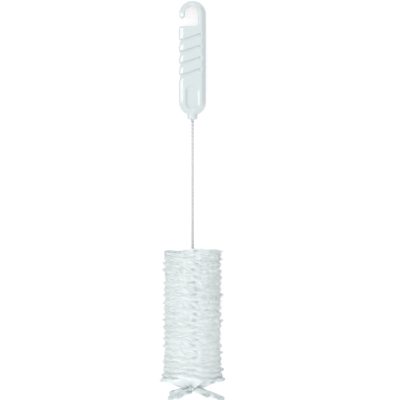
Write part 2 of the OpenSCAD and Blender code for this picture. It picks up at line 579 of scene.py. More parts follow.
@dataclass
class Wire:
    """One wire, folded double at the tip and twisted on itself."""

    twist: Twist
    top: float = -89.0
    strand: float = 1.75
    offset: float = 0.8
    # The eye at the tip, where the wire folds back
    eye_radius: float = 1.5
    eye_length: float = 4.0
    eye_step: int = 15
    below_head: float = 2.2
    # The mesh
    sides: int = 14
    ring_step: float = 0.5

    def centre_line(self) -> Array:
        """Gives the points of the wire's centre, down one strand and up the other.

        Returns:
            The points in order, with the eye's bend in the middle.
        """
        fold = self.twist.tip - self.below_head
        y = np.linspace(self.top, fold, round((self.top - fold) / self.ring_step) + 1)
        open_up = smooth_step(-y, -fold - self.eye_length, -fold)
        off = self.offset + (self.eye_radius - self.offset) * open_up
        angle = self.twist.at(y)
        down = self.twist.place(off, angle, y)
        up = (down * HALF_TURN)[::-1]
        bend = np.radians(np.arange(self.eye_step, 180, self.eye_step))
        across = self.eye_radius * np.cos(bend)
        eye = self.twist.place(across, angle[-1], fold - self.eye_radius * np.sin(bend))
        return np.concatenate([down, eye, up])

    def build(self, pose: Pose) -> None:
        """Makes the wire as one tube.

        Args:
            pose: The brush's pose.
        """
        line = self.centre_line()[None]
        radius = np.full((1, line.shape[1]), self.strand / 2)
        piece = Tubes(line, radius, self.sides).piece("twisted_wire", pose)
        dress(piece, WireZinc().material())
        place_piece(piece, Slot.WIRE, "core_wire")


@dataclass
class Tubes:
    """Round tubes along many paths, all with the same number of rings.

    Attributes:
        paths: The rings' centres, tube by tube.
        radii: The rings' radii, tube by tube.
        sides: The number of sides.
        aside: A direction that no tube starts in.
    """

    paths: Array
    radii: Array
    sides: int
    aside: tuple[float, float, float] = (0.3, 1.0, 0.2)

    def rings(self) -> Array:
        """Gives the points of every ring, carried along each tube without a twist.

        Returns:
            The points by tube, by ring and by side.
        """
        ahead = np.gradient(self.paths, axis=1)
        ahead /= np.linalg.norm(ahead, axis=2, keepdims=True)
        first = np.cross(ahead[:, 0], self.aside)
        side = np.empty_like(self.paths)
        side[:, 0] = first / np.linalg.norm(first, axis=1, keepdims=True)
        for k in range(1, self.paths.shape[1]):
            along = (side[:, k - 1] * ahead[:, k]).sum(1, keepdims=True)
            turned = side[:, k - 1] - along * ahead[:, k]
            side[:, k] = turned / np.linalg.norm(turned, axis=1, keepdims=True)
        other = np.cross(ahead, side)
        angle = np.arange(self.sides) * 2 * math.pi / self.sides
        out = (side[:, :, None] * np.cos(angle)[:, None]
               + other[:, :, None] * np.sin(angle)[:, None])
        return self.paths[:, :, None] + out * self.radii[:, :, None, None]

    def faces(self) -> list[Array]:
        """Gives the quads of the tubes' sides and the flat faces of their ends.

        Returns:
            The sides' quads, and the ends as faces of many corners.
        """
        count, length = self.paths.shape[:2]
        number = np.arange(count * length * self.sides).reshape(count, length, self.sides)
        after = np.roll(number, -1, axis=2)
        quads = np.stack([number[:, :-1], after[:, :-1], after[:, 1:], number[:, 1:]], -1)
        ends = np.concatenate([number[:, 0, ::-1], number[:, -1]])
        return [quads.reshape(-1, 4), ends]

    def piece(self, name: str, pose: Pose) -> bpy.types.Object:
        """Makes the tubes into one object."""
        return make_piece(name, self.rings().reshape(-1, 3), self.faces(), pose)


# ------------------------------------------------------------------------------------------
# Bristles
# ------------------------------------------------------------------------------------------


@dataclass
class Filaments:
    """Fine tapered nylon filaments, with a tint each.

    Attributes:
        paths: The filaments' rings, from the wire outwards.
        tint: A number from 0 to 1 for each filament.
    """

    paths: Array
    tint: Array
    # The tapered mesh of each one
    root_radius: float = 0.19
    tip_radius: float = 0.13
    sides: int = 3
    # The texture map
    map_width: float = 0.008
    map_margin: float = 0.01

    def lay_on_floor(self, pose: Pose, clearance: float = 0.25) -> None:
        """Bends the ends that would go through the floor, so that they lie on it."""
        low = clearance - pose.heights(self.paths)
        self.paths = self.paths + np.maximum(low, 0)[..., None] * pose.straight_up()

    def piece(self, name: str, pose: Pose) -> bpy.types.Object:
        """Makes the filaments into one object.

        Args:
            name: The piece's name.
            pose: The brush's pose.

        Returns:
            The object, with its tints and a map for textures.
        """
        count, length = self.paths.shape[:2]
        radii = np.linspace(self.root_radius, self.tip_radius, length)
        piece = Tubes(self.paths, np.tile(radii, (count, 1)), self.sides).piece(name, pose)
        along = np.tile(np.repeat(np.linspace(0, 1, length), self.sides), count)
        tint = np.repeat(self.tint, length * self.sides)
        for title, values in (("along", along), ("tint", tint)):
            layer = piece.data.attributes.new(title, "FLOAT", "POINT")
            layer.data.foreach_set("value", values.astype(np.float32))
        self.add_map(piece.data, along, tint)
        return piece

    def add_map(self, mesh: bpy.types.Mesh, along: Array, tint: Array) -> None:
        """Adds a texture map on which filaments of one tint share their place.

        Args:
            mesh: The filaments' mesh.
            along: How far along its filament each vertex is, from 0 to 1.
            tint: The tint of each vertex's filament.
        """
        corner = np.empty(len(mesh.loops), np.int32)
        mesh.loops.foreach_get("vertex_index", corner)
        side = self.map_width * (corner % self.sides) / self.sides
        inner = 1 - 2 * self.map_margin
        u = self.map_margin + (inner - self.map_width) * tint[corner] + side
        v = self.map_margin + inner * along[corner]
        layer = mesh.uv_layers.new(name="OFBake")
        layer.uv.foreach_set("vector", np.stack([u, v], 1).astype(np.float32).ravel())


@dataclass
class Rows:
    """The rows that the head's two arms of bristles make as they wind round the wire.

    An arm's place is the angle that it has wound through, from its start at the top.
    """

    twist: Twist
    # The rims' waves: up and down, and in and out, with their periods in angle
    ruffle: float = 1.25
    swell: float = 0.55
    rise_periods: tuple[float, ...] = (0.83, 0.47, 1.91, 7.3)
    reach_periods: tuple[float, ...] = (0.29, 0.61, 2.37)
    arm_shift: float = 2.1
    wave_shift: float = 1.7
    wave_evening: float = 0.75
    # The ramp where an arm starts and ends, and the step where a rim crosses over
    ramp: float = 0.16
    step: float = 0.65
    step_rows: float = 2.0
    crossing: Range = (0.34, 0.66)
    # The sag of the first rims, and the flare and lean of the last ones
    back_sag: float = 7.5
    sag_rows: float = 3.0
    most_flare: float = 4.2
    front_flare: float = 0.25
    lean: float = 4.2
    lean_power: float = 5.5
    # The small pits between the rows
    pit: float = 2.2
    pit_half: float = 0.10
    pit_aside: float = 0.09
    pit_waver: float = 0.6
    pit_power: float = 1.5

    @property
    def gap(self) -> float:
        """Distance from one row to the next, along the wire."""
        return self.twist.head_pitch / 2

    @property
    def whole_turn(self) -> float:
        """The angle that each arm winds through."""
        return 2 * math.pi * self.twist.head_length / self.twist.head_pitch

    def waves(self, arm: Array, at: Array, periods: tuple[float, ...]) -> Array:
        """Gives a wavering value from about -1 to 1 along an arm.

        Args:
            arm: The arm's number, 0 or 1.
            at: Angles that the arm has wound through.
            periods: The waves' periods, as angles.

        Returns:
            The values at those angles.
        """
        total = np.zeros_like(at)
        for k, period in enumerate(periods):
            total += np.sin(2 * math.pi * at / period + self.arm_shift * arm + self.wave_shift * k)
        return total / len(periods) ** self.wave_evening

    def rise(self, arm: Array, at: Array) -> Array:
        """Gives how far the rim of a row stands above its winding line."""
        return self.ruffle * self.waves(arm, at, self.rise_periods)

    def reach(self, arm: Array, at: Array) -> Array:
        """Gives how far a row reaches beyond the head's plain radius."""
        return self.swell * self.waves(arm, at, self.reach_periods)

    def first(self, angle: Array) -> Array:
        """Gives the depth of the uppermost row, with a short ramp where an arm starts."""
        part = (angle / math.pi) % 1
        return self.gap * np.interp(part, [0, 1 - self.ramp, 1], [0, 1 - self.ramp, 0])

    def last(self, angle: Array) -> Array:
        """Gives the depth of the lowest row, with a short ramp where an arm ends.

        Args:
            angle: Angles round the wire, from the first arm's start.

        Returns:
            The depths below the top of the head.
        """
        part = ((angle - self.whole_turn) / math.pi) % 1
        rest = np.interp(part, [0, self.ramp, 1], [0, 1 - self.ramp, 0])
        return self.twist.head_length - self.gap * rest

    def tip_share(self, depth: Array) -> Array:
        """Gives how near to the tip a row is: 0 along most of the head, and 1 at its end."""
        near = np.clip(2 * depth / self.twist.head_length - 1, 0, 1)
        return near**self.lean_power

    def flare(self, around: Array, depth: Array) -> Array:
        """Gives how much further the last rims reach, most of all at the two sides."""
        beside = self.front_flare + (1 - self.front_flare) * np.cos(around) ** 2
        return self.most_flare * self.tip_share(depth) * beside

    def cone(self, depth: Array) -> Array:
        """Gives how far the rims near the tip lean up, away from it."""
        return self.lean * self.tip_share(depth)

    def pits(self, around: Array, depth: Array) -> Array:
        """Gives how far the bristles stay back in the small pits between the rows.

        The pits make a wavering seam down the front and the back, where the rows cross over.

        Args:
            around: Angles round the wire, from the left side.
            depth: Depths below the top of the head.

        Returns:
            The pits' depths, towards the wire.
        """
        turn = 2 * math.pi * depth / self.gap
        aside = self.pit_aside * (1 + self.pit_waver * np.sin(turn / 2))
        off = around % math.pi - math.pi / 2 - aside
        depths = self.pit * np.exp(-((off / self.pit_half) ** 2))
        return depths * (0.5 + 0.5 * np.sin(turn)) ** self.pit_power

    def sink(self, around: Array, depth: Array) -> Array:
        """Gives how far a rim sinks below its even winding.

        It steps down where it crosses the front and the back, and the first rims sag at the
        back, where the head lies on them.

        Args:
            around: Angles round the wire, from the left side.
            depth: Depths below the top of the head.

        Returns:
            The distance down the wire.
        """
        part = (around / math.pi) % 1
        step = self.gap * self.step * (smooth_step(part, *self.crossing) - part)
        back = np.sqrt(np.clip(-np.sin(around), 0, 1))
        stepped = step * smooth_step(depth, 0, self.step_rows * self.gap)
        level = smooth_step(depth, 0, self.sag_rows * self.gap)
        return stepped + self.back_sag * back * (1 - level)


@dataclass
class BristleHead:
    """The cylindrical head: two arms of bristles that wind round the wire in ruffled rows."""

    twist: Twist
    radius: float = 28.75
    most_radius: float = 31.5
    box_radius: float = 33.7
    root: float = 1.8
    # The filaments, which are made in bands along the head
    filament_count: int = 24000
    bands: int = 5
    rings: int = 4
    # The clumps that their ends gather into
    clump_gap: float = 0.12
    clump_gaps: Range = (0.5, 1.5)
    clump_spare: float = 1.2
    clump_inset: float = 0.3
    clump_round: float = 6.0
    rise_scatter: float = 0.8
    reach_scatter: float = 0.4
    long_share: float = 0.1
    long_extra: Range = (0.8, 2.2)
    # How each filament runs to its clump, and strays from it
    pull: Range = (0.3, 0.85)
    loosest: float = 1.25
    swing_scatter: float = 0.02
    root_scatter: float = 0.22
    bow_scatter: float = 0.035
    end_scatter: Range = (0.3, 0.25)
    tint_scatter: float = 0.18
    spread_power: float = 1.5
    settle_speed: float = 2.5
    fan: float = 1.0
    taper: float = 0.8
    # The close-packed inside: its ridges, and the fine ripples and weave on them
    packed_ridge: float = 27.9
    packed_valley: float = 26.5
    packed_root: float = 2.3
    packed_half: float = 3.3
    packed_over: float = 0.6
    ridge_power: float = 1.5
    ripple: float = 0.5
    ripple_count: int = 4
    ripple_waver: float = 1.4
    waver_count: int = 9
    waver_rise: float = 4.0
    weave_count: int = 15
    weave_rise: float = 3.0
    lift_power: float = 1.5
    # The close-packed inside's lower end, with the folds that fan out on it
    tip_bulge: float = 7.5
    tip_leaf: float = 1.5
    leaf_count: int = 9
    leaf_waver: float = 2.0
    leaf_waver_count: int = 4
    # The close-packed inside's mesh
    packed_sides: int = 220
    packed_rings: int = 320
    cap_rings: int = 10
    seed: int = 11

    def arm_clumps(self, rows: Rows, arm: int,
                   rng: np.random.Generator) -> tuple[Array, Array, Array]:
        """Gives one arm's clumps: where they are along it, their rise and their reach.

        Args:
            rows: The rows that the bristles make.
            arm: The arm's number, 0 or 1.
            rng: The source of random numbers.

        Returns:
            The clumps' angles along the arm, rises and reaches.
        """
        turn = rows.whole_turn
        count = int(turn / self.clump_gap * self.clump_spare)
        at = np.cumsum(self.clump_gap * rng.uniform(*self.clump_gaps, count))
        at = at[at < turn + self.clump_gap]
        rise = rows.rise(arm, at) + rng.normal(0, self.rise_scatter, len(at))
        reach = (self.radius - self.clump_inset + rows.reach(arm, at)
                 + rng.normal(0, self.reach_scatter, len(at)))
        long = rng.random(len(at)) < self.long_share
        reach = np.where(long, reach + rng.uniform(*self.long_extra, len(at)), reach)
        flare = rows.flare(math.pi * (0.5 + arm) + at, at / turn * self.twist.head_length)
        return at, rise, np.minimum(reach, self.most_radius) + flare

    def filaments(self, rows: Rows) -> tuple[Array, Array, Array]:
        """Gives every filament's path, tint and depth of root.

        Args:
            rows: The rows that the bristles make.

        Returns:
            The paths' points, the tints from 0 to 1, and the roots' depths.
        """
        rng = np.random.default_rng(self.seed)
        count = self.filament_count // 2
        paths, tints, roots = [], [], []
        share = np.linspace(0, 1, self.rings)
        for arm in range(2):
            at, rise, reach = self.arm_clumps(rows, arm, rng)
            root = (np.arange(count) + rng.random(count)) / count * self.twist.head_length
            turn = 2 * math.pi * root / self.twist.head_pitch
            nearest = np.clip(np.searchsorted((at[1:] + at[:-1]) / 2, turn), 0, len(at) - 1)
            away = at[nearest] - turn
            pull = rng.uniform(*self.pull, count)
            swing = away * pull + rng.normal(0, self.swing_scatter, count)
            aside = rng.normal(0, self.fan, count) * (self.loosest - pull)
            lift = rise[nearest] + aside
            around = math.pi * (0.5 + arm) + turn
            lift += rows.cone(root) - rows.sink(around + away, root)
            out = (reach[nearest] - self.clump_round * np.abs(away)
                   - self.taper * np.abs(aside))
            out -= rows.pits(around + away, root)
            out = np.minimum(out + rng.normal(*self.end_scatter, count), self.box_radius)
            bow = rng.normal(0, self.bow_scatter, count)
            start = around + rng.normal(0, self.root_scatter, count)
            spread = share[None] ** self.spread_power
            toward = share[None] * (1 - share[None]) * 4
            settle = (around - start)[:, None] * np.minimum(share * self.settle_speed, 1)
            angle = start[:, None] + settle + swing[:, None] * spread + bow[:, None] * toward
            far = self.root + (out[:, None] - self.root) * share
            down = root[:, None] - lift[:, None] * spread
            paths.append(self.twist.place(far, angle, self.twist.head_top - down))
            tints.append(np.clip(0.5 + self.tint_scatter * rng.normal(size=count), 0, 1))
            roots.append(root)
        return np.concatenate(paths), np.concatenate(tints), np.concatenate(roots)

    def packed_radius(self, rows: Rows, angle: Array, depth: Array) -> Array:
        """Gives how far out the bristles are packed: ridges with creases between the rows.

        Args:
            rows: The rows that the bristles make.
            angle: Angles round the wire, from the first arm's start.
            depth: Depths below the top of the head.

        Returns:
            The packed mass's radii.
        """
        nearest = np.floor((depth - rows.gap * angle / math.pi) / rows.gap)
        best = np.zeros_like(depth)
        for step in (-1, 0, 1, 2):
            row = nearest + step
            at = angle + math.pi * row
            arm = row % 2
            middle = rows.gap * at / math.pi
            away = np.abs(depth - middle + rows.rise(arm, at)) / self.packed_half
            ridge = 1 - np.minimum(away, 1) ** self.ridge_power
            flare = rows.flare(angle + math.pi / 2, depth)
            out = self.packed_ridge + rows.reach(arm, at) + flare - self.packed_valley
            best = np.maximum(best, ridge * out)
        waver = self.ripple_waver * np.sin(self.waver_count * angle + depth / self.waver_rise)
        wave = (self.ripple_count * math.pi * depth / rows.gap - self.ripple_count * angle
                + waver)
        weave = np.sin(self.weave_count * angle - depth / self.weave_rise)
        fine = self.ripple * weave * np.sin(wave)
        return self.packed_valley + best + fine - rows.pits(angle + math.pi / 2, depth)

    def packed(self, rows: Rows, pose: Pose) -> bpy.types.Object:
        """Makes the close-packed inside of the head, round which the filaments' ends stand.

        Args:
            rows: The rows that the bristles make.
            pose: The brush's pose.

        Returns:
            The closed mesh.
        """
        angle = np.linspace(0, 2 * math.pi, self.packed_sides, endpoint=False)[None]
        share = np.linspace(0, 1, self.packed_rings)[:, None]
        top, low = rows.first(angle) - self.packed_over, rows.last(angle) + self.packed_over
        depth = top + (low - top) * share
        radius = self.packed_radius(rows, angle + 0 * depth, depth)
        caps = np.linspace(0, 1, self.cap_rings, endpoint=False)[:, None]
        upper = self.packed_root + (radius[:1] - self.packed_root) * caps
        lower = self.packed_root + (radius[-1:] - self.packed_root) * caps[::-1]
        part = lower / radius[-1:]
        waver = self.leaf_waver * np.sin(self.leaf_waver_count * angle)
        leaves = np.cos(self.leaf_count * angle - waver) * np.sin(math.pi * part)
        bulge = self.tip_bulge * (1 - part) + self.tip_leaf * leaves
        level = depth[-1].mean()
        under = level + (depth[-1:] - level) * part**2 + bulge
        depth = np.concatenate([depth[:1] + 0 * upper, depth, under])
        radius = np.concatenate([upper, radius, lower])
        turn = angle + math.pi / 2
        starts = self.twist.place(self.packed_valley + 0 * radius, turn, depth)
        lift = rows.cone(depth) - rows.sink(turn, depth)
        depth = depth - lift * (radius / self.radius) ** self.lift_power
        points = self.twist.place(radius, turn, self.twist.head_top - depth)
        number = np.arange(radius.size).reshape(radius.shape)
        below, beside = np.roll(number, -1, 0), np.roll(number, -1, 1)
        quads = np.stack([number, below, np.roll(below, -1, 1), beside], -1).reshape(-1, 4)
        piece = make_piece("packed_bristles", points.reshape(-1, 3), [quads], pose)
        add_fibres(piece, starts)
        return piece

    def build(self, pose: Pose) -> None:
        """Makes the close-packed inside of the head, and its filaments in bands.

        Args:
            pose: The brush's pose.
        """
        rows = Rows(self.twist)
        packed = self.packed(rows, pose)
        dress(packed, PackedNylon().material())
        place_piece(packed, Slot.BRISTLES, "bristle_head")
        paths, tints, roots = self.filaments(rows)
        band_of = roots / self.twist.head_length * self.bands
        band_of = np.minimum(band_of, self.bands - 1).astype(int)
        nylon = Nylon().material()
        for band in range(self.bands):
            kept = band_of == band
            filaments = Filaments(paths[kept], tints[kept])
            filaments.lay_on_floor(pose)
            piece = filaments.piece(f"bristle_rows_{band + 1}", pose)
            dress(piece, nylon)
            place_piece(piece, Slot.BRISTLES, "bristle_head")


@dataclass(frozen=True)
class Clump:
    """One clump of the end tuft.

    Attributes:
        around: Its angle round the wire, from the right side towards the front, in degrees.
        slant: The angle between it and the wire's line, in degrees.
        length: Its length.
    """

    around: float
    slant: float
    length: float


@dataclass
class EndTuft:
    """The filaments in the wire's end loop, splayed like a star."""

    twist: Twist
    clumps: tuple[Clump, ...] = (
        Clump(20, 72, 34.0),
        Clump(58, 78, 30.0),
        Clump(98, 84, 27.0),
        Clump(134, 69, 24.0),
        Clump(160, 67, 27.0),
        Clump(214, 76, 27.0),
        Clump(285, 80, 30.0),
        Clump(336, 70, 34.0),
    )
    # The filaments of each clump
    filaments_each: int = 460
    rings: int = 4
    below_head: float = 3.0
    root_spread: float = 1.7
    root_limit: float = 2.4
    root_gap: float = 1.2
    tip_spread: float = 1.0
    gather_power: float = 0.8
    length_share: Range = (0.86, 1.0)
    tints: Range = (0.2, 0.8)
    lean: float = 0.05
    # The close-packed inside of each clump
    core_radii: tuple[float, ...] = (3.5, 3.4, 3.2, 3.0, 2.9, 2.8, 2.5, 1.9)
    core_ends: Range = (0.04, 0.98)
    core_sides: int = 20
    core_apart: float = 10.0
    seed: int = 5

    def directions(self, clump: Clump) -> tuple[Array, Array, Array]:
        """Gives a clump's direction, and two directions across it.

        Args:
            clump: The clump.

        Returns:
            Three unit vectors at right angles.
        """
        around, slant = math.radians(clump.around), math.radians(clump.slant)
        out = np.array([math.cos(around), 0, math.sin(around)])
        side = np.array([-math.sin(around), 0, math.cos(around)])
        ahead = out * math.sin(slant) + np.array([0, -math.cos(slant), 0])
        return ahead, side, np.cross(ahead, side)

    @property
    def hub(self) -> Array:
        """The middle of the wire's end loop."""
        return np.array([0, self.twist.tip - self.below_head, 0])

    def cores(self, pose: Pose) -> bpy.types.Object:
        """Makes the close-packed inside of every clump.

        Args:
            pose: The brush's pose.

        Returns:
            The tapered cores as one object.
        """
        share = np.linspace(*self.core_ends, len(self.core_radii))[:, None]
        lines = [self.hub + self.directions(c)[0] * c.length * share for c in self.clumps]
        radii = np.tile(self.core_radii, (len(lines), 1))
        cores = Tubes(np.array(lines), radii, self.core_sides)
        piece = cores.piece("packed_tuft", pose)
        across = (cores.rings() - cores.paths[:, :, None]) / radii[:, :, None, None]
        apart = np.arange(len(lines))[:, None, None, None] * self.core_apart
        add_fibres(piece, across * max(self.core_radii) + apart)
        return piece

    def clump_paths(self, clump: Clump, rng: np.random.Generator) -> Array:
        """Gives the paths of one clump's filaments.

        Args:
            clump: The clump.
            rng: The source of random numbers.

        Returns:
            The points by filament and by ring.
        """
        ahead, side, across = self.directions(clump)
        count = self.filaments_each
        share = np.linspace(0, 1, self.rings)[None, :, None]
        along_wire = rng.normal(0, self.root_spread, count)
        along_wire = along_wire.clip(-self.root_limit, self.root_limit)[:, None, None]
        tips = rng.normal(0, self.tip_spread, (2, count, 1, 1))
        gather = share**self.gather_power
        spread = (along_wire * [0, 1, 0] * (1 - gather)
                  + (tips[0] * side + tips[1] * across) * gather)
        length = (clump.length * rng.uniform(*self.length_share, count))[:, None, None]
        lean = rng.normal(0, self.lean, count)[:, None, None] * share**2 * length * side
        return self.hub + ahead * (self.root_gap + length * share) + spread + lean

    def build(self, pose: Pose) -> None:
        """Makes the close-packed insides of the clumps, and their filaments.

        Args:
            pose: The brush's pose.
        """
        cores = self.cores(pose)
        dress(cores, PackedNylon().material())
        place_piece(cores, Slot.BRISTLES, "end_tuft")
        rng = np.random.default_rng(self.seed)
        paths = np.concatenate([self.clump_paths(c, rng) for c in self.clumps])
        filaments = Filaments(paths, rng.uniform(*self.tints, len(paths)))
        piece = filaments.piece("splayed_tuft", pose)
        dress(piece, Nylon().material())
        place_piece(piece, Slot.BRISTLES, "end_tuft")


# ------------------------------------------------------------------------------------------
# Finishes
# ------------------------------------------------------------------------------------------


def dress(piece: bpy.types.Object, material: bpy.types.Material) -> None:
    """Gives a piece its one material."""
    piece.data.materials.clear()
    piece.data.materials.append(material)


class Nodes:
    """Adds nodes to a tree, left to right, and links them by socket name."""

    spacing = 220

    def __init__(self, tree: bpy.types.NodeTree) -> None:
        """Starts on an empty tree."""
        self.tree = tree
        self.tree.nodes.clear()

    def add(self, kind: str, **values: object) -> bpy.types.Node:
        """Adds a node.

        Args:
            kind: The node's type, without its ShaderNode or Node start.
            values: Attributes by name, or input values by socket name with _ for spaces.

        Returns:
            The node.
        """
        start = "" if kind.startswith("NodeGroup") else "ShaderNode"
        node = self.tree.nodes.new(start + kind)
        node.location.x = self.spacing * len(self.tree.nodes)
        for name, value in values.items():
            if hasattr(node, name):
                setattr(node, name, value)
            else:
                node.inputs[name.replace("_", " ")].default_value = value
        return node

    def link(self, out: bpy.types.NodeSocket, into: bpy.types.NodeSocket) -> None:
        """Links an output to an input."""
        self.tree.links.new(out, into)

    def finish(self, surface: bpy.types.Node) -> None:
        """Adds the material's output, and links its surface shader to it."""
        output = self.add("OutputMaterial")
        self.link(surface.outputs["BSDF"], output.inputs["Surface"])


def new_material(name: str) -> tuple[bpy.types.Material, Nodes]:
    """Makes an empty material, and gives it with its nodes.

    Args:
        name: The material's name.

    Returns:
        The material, and its empty tree of nodes.
    """
    material = bpy.data.materials.new(name)
    material.use_nodes = True
    return material, Nodes(material.node_tree)


def mottle_group() -> bpy.types.NodeTree:
    """Gives the shared group for a faint mottle in colour, sheen and relief.

    Returns:
        The group, with Colour, Mask and Height outputs, built once.
    """
    name = "surface_mottle"
    if name in bpy.data.node_groups:
        return bpy.data.node_groups[name]
    tree = bpy.data.node_groups.new(name, "ShaderNodeTree")
    for title, kind in (("Colour", "NodeSocketColor"), ("Other Colour", "NodeSocketColor"),
                        ("Patch Scale", "NodeSocketFloat"), ("Grain Scale", "NodeSocketFloat")):
        tree.interface.new_socket(title, in_out="INPUT", socket_type=kind)
    for title, kind in (("Colour", "NodeSocketColor"), ("Mask", "NodeSocketFloat"),
                        ("Height", "NodeSocketFloat")):
        tree.interface.new_socket(title, in_out="OUTPUT", socket_type=kind)
    nodes = Nodes(tree)
    given = nodes.add("NodeGroupInput")
    place = nodes.add("TexCoord")
    patches = nodes.add("TexNoise", Detail=3.0, Roughness=0.55)
    grain = nodes.add("TexNoise", Detail=2.0, Roughness=0.6)
    mix = nodes.add("Mix", data_type="RGBA")
    result = nodes.add("NodeGroupOutput")
    nodes.link(place.outputs["Object"], patches.inputs["Vector"])
    nodes.link(place.outputs["Object"], grain.inputs["Vector"])
    nodes.link(given.outputs["Patch Scale"], patches.inputs["Scale"])
    nodes.link(given.outputs["Grain Scale"], grain.inputs["Scale"])
    nodes.link(patches.outputs["Fac"], mix.inputs[MIX_SHARE])
    nodes.link(given.outputs["Colour"], mix.inputs[MIX_FIRST])
    nodes.link(given.outputs["Other Colour"], mix.inputs[MIX_SECOND])
    nodes.link(mix.outputs[MIX_RESULT], result.inputs["Colour"])
    nodes.link(patches.outputs["Fac"], result.inputs["Mask"])
    nodes.link(grain.outputs["Fac"], result.inputs["Height"])
    return tree


@dataclass(frozen=True)
class MottledFinish:
    """A finish whose colour, sheen and relief vary faintly through the shared mottle."""

    name: str
    colour: Colour
    other_colour: Colour
    patch_scale: float
    grain_scale: float
    roughness: Range
    relief: float
    metallic: float = 0.0
    coat: float = 0.0
    coat_roughness: float = 0.03

    def material(self) -> bpy.types.Material:
        """Makes the material.

        Returns:
            The material.
        """
        material, nodes = new_material(self.name)
        mottle = nodes.add("Group", node_tree=mottle_group())
        mottle.inputs["Colour"].default_value = self.colour
        mottle.inputs["Other Colour"].default_value = self.other_colour
        mottle.inputs["Patch Scale"].default_value = self.patch_scale
        mottle.inputs["Grain Scale"].default_value = self.grain_scale
        sheen = nodes.add("MapRange")
        sheen.inputs["To Min"].default_value = self.roughness[0]
        sheen.inputs["To Max"].default_value = self.roughness[1]
        bump = nodes.add("Bump", Distance=self.relief, Strength=1.0)
        surface = nodes.add("BsdfPrincipled", Metallic=self.metallic, Coat_Weight=self.coat,
                            Coat_Roughness=self.coat_roughness)
        nodes.link(mottle.outputs["Colour"], surface.inputs["Base Color"])
        nodes.link(mottle.outputs["Mask"], sheen.inputs["Value"])
        nodes.link(sheen.outputs["Result"], surface.inputs["Roughness"])
        nodes.link(mottle.outputs["Height"], bump.inputs["Height"])
        nodes.link(bump.outputs["Normal"], surface.inputs["Normal"])
        nodes.finish(surface)
        return material


@dataclass(frozen=True)
class HandlePlastic(MottledFinish):
    """Glossy white moulded plastic with a faint cool cast."""

    name: str = "white_moulded_plastic"
    colour: Colour = (0.642, 0.668, 0.678, 1.0)
    other_colour: Colour = (0.657, 0.683, 0.693, 1.0)
    patch_scale: float = 45.0
    grain_scale: float = 700.0
    roughness: Range = (0.14, 0.22)
    relief: float = 0.00003
    coat: float = 1.0
    coat_roughness: float = 0.12


@dataclass(frozen=True)
class WireZinc(MottledFinish):
    """Bright galvanised steel."""

    name: str = "galvanised_wire"
    colour: Colour = (0.74, 0.76, 0.77, 1.0)
    other_colour: Colour = (0.84, 0.85, 0.86, 1.0)
    patch_scale: float = 350.0
    grain_scale: float = 2600.0
    roughness: Range = (0.66, 0.80)
    relief: float = 0.00002
    metallic: float = 1.0


@dataclass(frozen=True)
class PackedNylon:
    """White nylon fibres packed so close that light spreads through them.

    The fibres show as streaks along their length and as dots on their ends, with painted shade in
    the darker gaps between them.
    """

    name: str = "packed_nylon"
    # Painted shade: the gaps between the fibres take this darker colour
    shaded_gap_colour: Colour = (0.90, 0.965, 0.965, 1.0)
    fibre_colour: Colour = (0.97, 0.995, 0.995, 1.0)
    fibre_scale: float = 2.6
    fibre_edge: float = 0.62
    fibre_core: float = 0.2
    roughness: float = 0.5
    relief: float = 0.00025
    spread: float = 1.0
    spread_depth: float = 0.002
    sheen: float = 1.0

    def material(self) -> bpy.types.Material:
        """Makes the material, or gives the one that is made.

        Returns:
            The material.
        """
        if self.name in bpy.data.materials:
            return bpy.data.materials[self.name]
        material, nodes = new_material(self.name)
        fibre = nodes.add("Attribute", attribute_name="fibre")
        cells = nodes.add("TexVoronoi", Scale=self.fibre_scale)
        # Painted shade: this mask darkens the gaps round each fibre's dot or streak
        gaps = nodes.add("MapRange", interpolation_type="SMOOTHSTEP")
        gaps.inputs["From Min"].default_value = self.fibre_edge
        gaps.inputs["From Max"].default_value = self.fibre_core
        colour = nodes.add("Mix", data_type="RGBA")
        colour.inputs[MIX_FIRST].default_value = self.shaded_gap_colour
        colour.inputs[MIX_SECOND].default_value = self.fibre_colour
        bump = nodes.add("Bump", Distance=self.relief, Strength=1.0)
        surface = nodes.add("BsdfPrincipled", Roughness=self.roughness, Sheen_Weight=self.sheen,
                            Subsurface_Weight=self.spread, Subsurface_Scale=self.spread_depth)
        surface.inputs["Subsurface Radius"].default_value = (1.0, 1.0, 1.0)
        nodes.link(fibre.outputs["Vector"], cells.inputs["Vector"])
        nodes.link(cells.outputs["Distance"], gaps.inputs["Value"])
        nodes.link(gaps.outputs["Result"], colour.inputs[MIX_SHARE])
        nodes.link(colour.outputs[MIX_RESULT], surface.inputs["Base Color"])
        nodes.link(gaps.outputs["Result"], bump.inputs["Height"])
        nodes.link(bump.outputs["Normal"], surface.inputs["Normal"])
        nodes.finish(surface)
        return material


